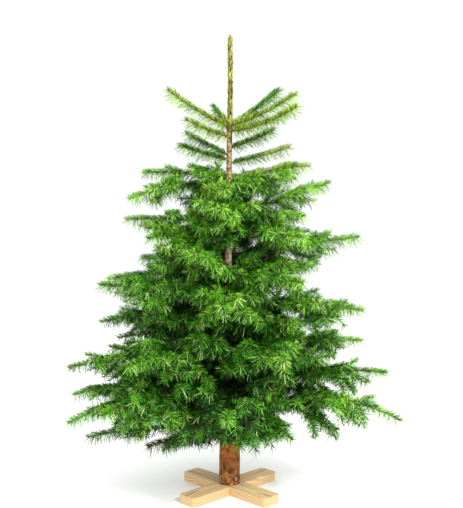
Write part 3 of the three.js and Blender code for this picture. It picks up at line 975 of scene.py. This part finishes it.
bud_parts = []
for shoot in all_shoots:
    tip = shoot.line(np.array(1.0))
    tangent, right, top = shoot.frame(np.array(0.99))
    if shoot.level > 0:
        bud_parts.append(bud(tip, tangent, *TWIG_BUD))
        continue
    bud_parts.append(bud(tip, tangent, *BOUGH_BUD))
    for side in (-1, 1):
        bud_parts.append(bud(tip - SIDE_BUD_BACK * tangent, tangent + side * SIDE_BUD_SPREAD * right, *SIDE_BUD))
top_foot = trunk_middle(np.array(TREE_HEIGHT - BUD_LENGTH))
bud_parts.append(bud(top_foot - 1 * MM * UP, UP, *TOP_BUD))
for k in range(CROWN_BUDS):
    turn = 2 * math.pi * k / CROWN_BUDS
    outward = np.array([math.cos(turn), math.sin(turn), 0.0])
    bud_parts.append(bud(top_foot + CROWN_BUD_BACK * (outward - UP), UP + CROWN_BUD_SPREAD * outward, *CROWN_BUD))
points, faces = join(bud_parts)
add_piece("buds", points, faces, bud_scale)

# %% [markdown]
# ## Needles
#
# On a fir the needles on top of a twig lean forward and lie close, those at its sides stand out level, and those
# below hang longer and wider apart. So each needle gets a place along the twig and a turn round it, and its lean
# and its length follow from that turn. At a shoot's end they close round the bud like the hairs of a brush. Hair
# or a particle system could do this, but only real meshes leave Blender with the rest of the tree.

# %% Where the needles of a spray stand
GOLDEN_TURN, ANY_TURN, TURN_LUCK = 2.39996, 6.28, 0.35
CROWDED_ABOVE = 0.4
LEAN_TOP, LEAN_SIDE, LEAN_BELOW, LEAN_LUCK = 40, 60, 68, 8
UPTURN = 0.08
SIDE_LENGTH, SHORTER_ABOVE = 0.88, 0.24
SHORTEST_NEEDLE, LONGEST_NEEDLE = 0.76, 1.12
FACING_LUCK = 0.6
FOOT_DEPTH = 0.5
# How far from the tip the needles start to close, then the least, the gain and the most of lean and of length
CLOSING_OVER = 14 * MM
CLOSED_LEAN = (0.55, 0.5, 1.12)
CLOSED_LENGTH = (0.8, 0.2, 1)


def closed(end, least, gain, most):
    return np.clip(least + gain * end, least, most)


def spray_needles(shoot, low, high, per_metre, size, rng, closing):
    """Feet, directions, sideways directions, lengths and heights round the twig, between two shares of a shoot."""
    count = max(3, int(round((high - low) * shoot.length * per_metre)))
    order = np.arange(count)
    shares = low + (high - low) * (order + rng.random(count)) / count
    tangent, right, top = shoot.frame(shares)
    turn = GOLDEN_TURN * order + rng.random() * ANY_TURN + rng.normal(0, TURN_LUCK, count)
    turn = turn + CROWDED_ABOVE * np.cos(turn)
    high_up = np.sin(turn)
    lean = np.where(high_up > 0, LEAN_SIDE + (LEAN_TOP - LEAN_SIDE) * high_up,
                    LEAN_SIDE - (LEAN_BELOW - LEAN_SIDE) * high_up) + rng.normal(0, LEAN_LUCK, count)
    end = (1 - shares) * shoot.length / CLOSING_OVER
    if closing:
        lean = lean * closed(end, *CLOSED_LEAN)
    lean = np.radians(lean)[:, None]
    radial = np.cos(turn)[:, None] * right + high_up[:, None] * top
    leaving = unit(np.cos(lean) * tangent + np.sin(lean) * radial + UPTURN * UP)
    length = size * (SIDE_LENGTH - SHORTER_ABOVE * high_up) * rng.uniform(SHORTEST_NEEDLE, LONGEST_NEEDLE, count)
    if closing:
        length = length * closed(end, *CLOSED_LENGTH)
    facing = unit(np.cross(leaving, top + rng.normal(0, FACING_LUCK, (count, 3))))
    foot = shoot.line(shares) + radial * shoot.wood(shares)[:, None] * FOOT_DEPTH
    return foot, leaving, facing, length, high_up


print("needles lean", LEAN_TOP, "degrees on top and", LEAN_BELOW, "below")

# %% [markdown]
# A needle is a flat blade of two triangles, with a narrow foot and a blunt tip. Its true width is about two
# millimetres. Needles deep in the crown are made wider than life, so that fewer of them close it.

# %% The blades
NEEDLE_WIDTH = 2.3 * MM
WIDTHS = {"shaded": 3.4 * MM, "deep": 2.6 * MM, "green": 2.1 * MM, "fresh": 2.0 * MM,
          "young": 1.8 * MM, "fringe": 1.6 * MM, "pale": 1.7 * MM}
FOOT_WIDTH, TIP_WIDTH = 0.8, 0.5


def needle_mesh(foot, leaving, facing, length, width):
    tip = foot + leaving * length[:, None]
    half = 0.5 * width * facing
    points = np.stack([foot - FOOT_WIDTH * half, foot + FOOT_WIDTH * half,
                       tip + TIP_WIDTH * half, tip - TIP_WIDTH * half], axis=1)
    first = 4 * np.arange(len(foot))[:, None]
    return points.reshape(-1, 3), np.concatenate([first + [0, 1, 2], first + [0, 2, 3]])


print("needles are", min(WIDTHS.values()) / MM, "to", max(WIDTHS.values()) / MM, "mm wide")

# %% [markdown]
# ## Dealing out the sprays
#
# A spray is the needles of about eight centimetres of shoot. The crown is dark inside and brighter at its edge,
# at the tips and towards the top, partly from the needles' own age and partly as painted shade and light. It is
# darker at the left, which is turned from the light, and darkest in the hollow over the butt, both painted shade,
# and the two lowest tiers get painted light. One colour for each spray does all that without a texture: its place
# gives a brightness, luck shifts it a little, and a short list of steps turns it into one of the finishes, whose
# darkest, shaded, is painted shade. Young sprays at the top are yellow-green with pale tips below.

# %% Which colour a spray gets
BRIGHTNESS_STEPS = [("shaded", 0.38), ("deep", 0.56), ("mature", 0.82), ("green", 1.08)]
# Brightness gained further out, higher up and at the tips: partly the needles' own age, partly painted light and shade
BRIGHTER_OUT, BRIGHTER_UP, BRIGHTER_TIPS, COLOUR_LUCK = 0.8, 0.24, 0.26, 0.44
# Painted light towards the top, together with the younger needles there
TOP_FROM, BRIGHTER_TOP = 0.42, 1.25
# Painted light on the two lowest tiers, which catch some light again
LIGHTER = {"ring8": 0.12, "skirt": 0.32}
# Painted shade on the left, which is turned from the light
LEFT_SHADE = 0.16
# Painted shade in the hollow over the butt
HOLLOW_SIDE, HOLLOW_FOOT, HOLLOW_TOP, HOLLOW_SHADE = 85 * MM, 270 * MM, 450 * MM, 0.3

rng = np.random.default_rng(7)
crown_reach = {ring[0]: max(b[1] for b in ring[5] + ring[6]) * MM for ring in RINGS}
crown_reach |= {"inner": 0.5, "skirt": 0.3}


def spray_kind(ring, outer, middle, newest):
    """Brighter further out, higher up and at the tips, with luck: partly the needles' age, partly painted light and
    shade.
    """
    high_share = float(middle[2]) / TREE_HEIGHT
    bright = (BRIGHTER_OUT * outer + BRIGHTER_UP * high_share + BRIGHTER_TIPS * newest
              + either_way(rng.random, COLOUR_LUCK))
    bright += LIGHTER.get(ring, 0.0) - LEFT_SHADE * max(0.0, -float(middle[0])) / crown_reach[ring]
    if abs(middle[0]) < HOLLOW_SIDE and middle[1] < 0 and HOLLOW_FOOT < middle[2] < HOLLOW_TOP:
        bright -= HOLLOW_SHADE
    bright += BRIGHTER_TOP * max(0.0, high_share - TOP_FROM)
    return next((kind for kind, most in BRIGHTNESS_STEPS if bright < most), "fresh")


print("colours from dark to light:", *[kind for kind, most in BRIGHTNESS_STEPS], "fresh")

# %% Needles with pale undersides
BELOW_THE_TWIG = -0.2
# Shares of the needles below the twig, and of the others, that show a paler side
USUAL_PALE_BELOW, PALE_ABOVE = 0.16, 0.03
PALE_BELOW = {"shaded": 0.0, "deep": 0.1}
FRINGED = {"mature": (0.6, 0.3), "young": (0.8, 0.35)}

lots = {name: [] for name in NEEDLE_COLOURS}


def deal_out(spray, kind, paler_kind, below_share, above_share):
    """Needles below the twig often show their pale undersides, and a few of the others do."""
    high_up = spray[-1]
    paler = rng.random(len(high_up)) < np.where(high_up < BELOW_THE_TWIG, below_share, above_share)
    lots[kind].append([column[~paler] for column in spray])
    lots[paler_kind].append([column[paler] for column in spray])


print(len(lots), "lots to deal out to")

# %% All sprays
SPRAY_LENGTH = 85 * MM
NEWEST_FROM = 0.95
NEEDLE_LENGTH = 33 * MM
OLDER_SIZE, FAR_SIZE = 0.94, 0.7
FAR_SIDE = 60 * MM
YELLOW_FROM = 0.74
# Needles for each metre of shoot, by ring, and what the level, the place and the age of the shoot make of it
DENSITY = {"ring1": 3200, "between": 2700, "ring2": 2300, "inner": 1600, "ring7": 2150, "ring8": 1950}
USUAL_DENSITY = 2250
LEVEL_DENSITY = (1.6, 1.05, 0.9)
BOUGH_DENSITY = 1.1
DENSE_INSIDE, THINNER_OUT = 1.18, 0.38
TUFT_DENSITY, BELOW_TUFT = 1.06, 0.78

# The top is young, and of the second ring the boughs that point right
for shoot in all_shoots:
    is_young = shoot.ring in ("ring1", "between")
    is_young |= shoot.ring == "ring2" and shoot.level == 0 and float(shoot.line(np.array(1.0))[0]) > 0
    cuts = np.linspace(shoot.start, 1.0, max(1, round((1 - shoot.start) * shoot.length / SPRAY_LENGTH)) + 1)
    for low, high in zip(cuts[:-1], cuts[1:]):
        middle = shoot.line(np.array((low + high) / 2))
        outer = float(np.hypot(middle[0], middle[1])) / crown_reach[shoot.ring]
        newest = high > NEWEST_FROM
        size = NEEDLE_LENGTH * (1.0 if newest else OLDER_SIZE)
        if is_young and middle[1] > FAR_SIDE and middle[0] < 0:
            size *= FAR_SIZE
        density = DENSITY.get(shoot.ring, USUAL_DENSITY) * LEVEL_DENSITY[shoot.level]
        density *= BOUGH_DENSITY if shoot.level == 0 else DENSE_INSIDE - THINNER_OUT * outer
        if not is_young:
            density *= TUFT_DENSITY if newest else BELOW_TUFT
        spray = spray_needles(shoot, low, high, density, size, rng, newest)
        seen = ~(in_window(spray[0]) | in_window(spray[0] + spray[1] * spray[3][:, None]))
        spray = [column[seen] for column in spray]
        if is_young:
            still_green = outer < YELLOW_FROM and (shoot.ring == "between" or middle[1] > FAR_SIDE)
            kind = "mature" if still_green else "young"
            deal_out(spray, kind, "fringe", *FRINGED[kind])
        else:
            kind = spray_kind(shoot.ring, outer, middle, newest)
            deal_out(spray, kind, "pale", PALE_BELOW.get(kind, USUAL_PALE_BELOW), PALE_ABOVE)
print(sum(len(sprays) for sprays in lots.values()) // 2, "sprays")

# %% [markdown]
# The leader is this year's top shoot. Its needles are short and pressed against it, so it looks bare from afar.

# %% The leader's needles
LEADER_START = 1275 * MM
LEADER_NEEDLES = 1300
LEADER_CLEAR = 8 * MM
LEADER_LEAN = (10, 27)
LEADER_LENGTH = (12, 19)
LEADER_FACING_LUCK = 0.2
LEADER_FOOT = 0.92


def leader_needles():
    """Short needles pressed against the top shoot, like the scales of a rope."""
    count = LEADER_NEEDLES
    room = TREE_HEIGHT - BUD_LENGTH - LEADER_START - 2 * LEADER_CLEAR
    heights = LEADER_START + LEADER_CLEAR + room * rng.random(count)
    turn = rng.random(count) * 2 * np.pi
    radial = np.stack([np.cos(turn), np.sin(turn), np.zeros(count)], 1)
    lean = np.radians(rng.uniform(*LEADER_LEAN, count))[:, None]
    leaving = np.cos(lean) * UP + np.sin(lean) * radial
    facing = unit(np.cross(UP, radial) + rng.normal(0, LEADER_FACING_LUCK, (count, 3)))
    foot = trunk_middle(heights) + radial * trunk_radius(heights)[:, None] * LEADER_FOOT
    length = rng.uniform(*LEADER_LENGTH, count) * MM
    return foot, leaving, facing, length, np.ones(count)


lots["leader"].append(leader_needles())
print(LEADER_NEEDLES, "needles on the leader")

# %% Pieces of needles
PER_PIECE = 98000

total = 0
for kind, sprays in lots.items():
    columns = [np.concatenate(column) for column in zip(*sprays)]
    total += len(columns[0])
    slot = "young_needles" if kind == "young" else "needles"
    for start in range(0, len(columns[0]), PER_PIECE):
        lot = [column[start:start + PER_PIECE] for column in columns]
        points, faces = needle_mesh(*lot[:4], WIDTHS.get(kind, NEEDLE_WIDTH))
        add_piece(f"needles_{kind}_{start // PER_PIECE + 1}", points, faces, needle_finishes[kind], smooth=False)
print(total, "needles")

# %% [markdown]
# ## The stand
#
# The photograph shows no stand, so the tree gets the plainest one: two boards halved into each other, with the
# trunk's tenon through both. Their edges are broken, as on any sawn board that has been sanded. The model's own
# boards are right already, so copies of them are bevelled. The grain is a growth ring pattern round a pith that
# lies below each board, so that it shows as long lines on top and as arcs at the ends, as in real softwood.

# %% The boards' finish
RINGS_PER_METRE = 210
PITH_ASIDE, PITH_BELOW = 0.034, 0.022
GRAIN_TAPER, GRAIN_WANDER = 0.012, 0.05
EARLY_WOOD, LATE_WOOD, FIBRE = shade(226, 196, 148), shade(192, 148, 92), shade(160, 116, 70)
WANDER_STRETCH, FIBRE_STRETCH, FIBRE_DEPTH = (1, 1, 4), (60, 60, 400), 0.8 * MM


def board_finish(name, turn):
    finish = Finish(name, Roughness=0.62)
    place = finish.place()
    east, north, height = [finish.part(place, axis) for axis in range(3)]
    along = east * math.cos(turn) + north * math.sin(turn)
    across = north * math.cos(turn) - east * math.sin(turn)
    wander = finish.grain(finish.stretch(place, WANDER_STRETCH), 5.0, 2.0)
    aside = across + GRAIN_WANDER * wander - PITH_ASIDE
    below = height + GRAIN_TAPER * along + PITH_BELOW
    pith = (aside * aside + below * below) ** 0.5
    ring = (RINGS_PER_METRE * pith).fraction()
    fibre = finish.grain(finish.stretch(place, FIBRE_STRETCH), 5.0, 3.0)
    colour = finish.mix(finish.band(ring, 0.35, 0.95), EARLY_WOOD, LATE_WOOD)
    finish.set(Base_Color=finish.mix(finish.band(fibre, 0.4, 0.8, 0.0, 0.3), colour, FIBRE))
    finish.bump(fibre, 0.25, FIBRE_DEPTH)
    return finish


print("growth rings every", round(1 / RINGS_PER_METRE / MM, 1), "mm")

# %% Boards
STAND_TURN = 45
BROKEN_EDGE = 1.5 * MM
SAME_POINT = 0.01 * MM
FLAT, SHARP = math.radians(1), math.radians(30)

for node, turn in (("stand_board_lower", STAND_TURN), ("stand_board_upper", STAND_TURN + 90)):
    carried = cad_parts[node]
    shape = bmesh.new()
    shape.from_mesh(carried.data)
    bmesh.ops.remove_doubles(shape, verts=shape.verts, dist=SAME_POINT)
    bmesh.ops.dissolve_limit(shape, angle_limit=FLAT, verts=shape.verts, edges=shape.edges)
    sharp = [edge for edge in shape.edges if edge.is_manifold and edge.calc_face_angle() > SHARP]
    bmesh.ops.bevel(shape, geom=sharp, offset=BROKEN_EDGE, segments=2, profile=0.6, affect="EDGES")
    mesh = bpy.data.meshes.new(node + "_sanded")
    shape.to_mesh(mesh)
    shape.free()
    mesh.materials.append(board_finish("sawn_" + node, math.radians(turn)).material)
    piece = bpy.data.objects.new(node + "_sanded", mesh)
    bpy.context.collection.objects.link(piece)
    piece.matrix_world = carried.matrix_world.copy()
    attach(piece, "root")
    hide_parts(node)
    print(piece.name, len(mesh.polygons), "faces")

# %% [markdown]
# ## Floor
#
# The photograph's ground is plain white. A curved backdrop would give that from the front only, so one very wide
# pale disc lies under the tree instead, and from every side its far edge melts into the white sky. It is a part
# of the picture and not of the tree.

# %% Floor
FLOOR_RADIUS = 40.0
FLOOR_SIDES = 64
PALE = (0.97, 0.97, 0.97, 1.0)

turns = 2 * np.pi * np.arange(FLOOR_SIDES) / FLOOR_SIDES
rim = [(FLOOR_RADIUS * math.cos(turn), FLOOR_RADIUS * math.sin(turn), 0) for turn in turns]
mesh = bpy.data.meshes.new("floor")
mesh.from_pydata(rim, [], [list(range(FLOOR_SIDES))])
floor_finish = Finish("pale_floor", Base_Color=PALE, Roughness=0.9, Specular_IOR_Level=0.1)
mesh.materials.append(floor_finish.material)
floor = bpy.data.objects.new("floor", mesh)
bpy.context.collection.objects.link(floor)
print("floor of", FLOOR_RADIUS, "m radius")
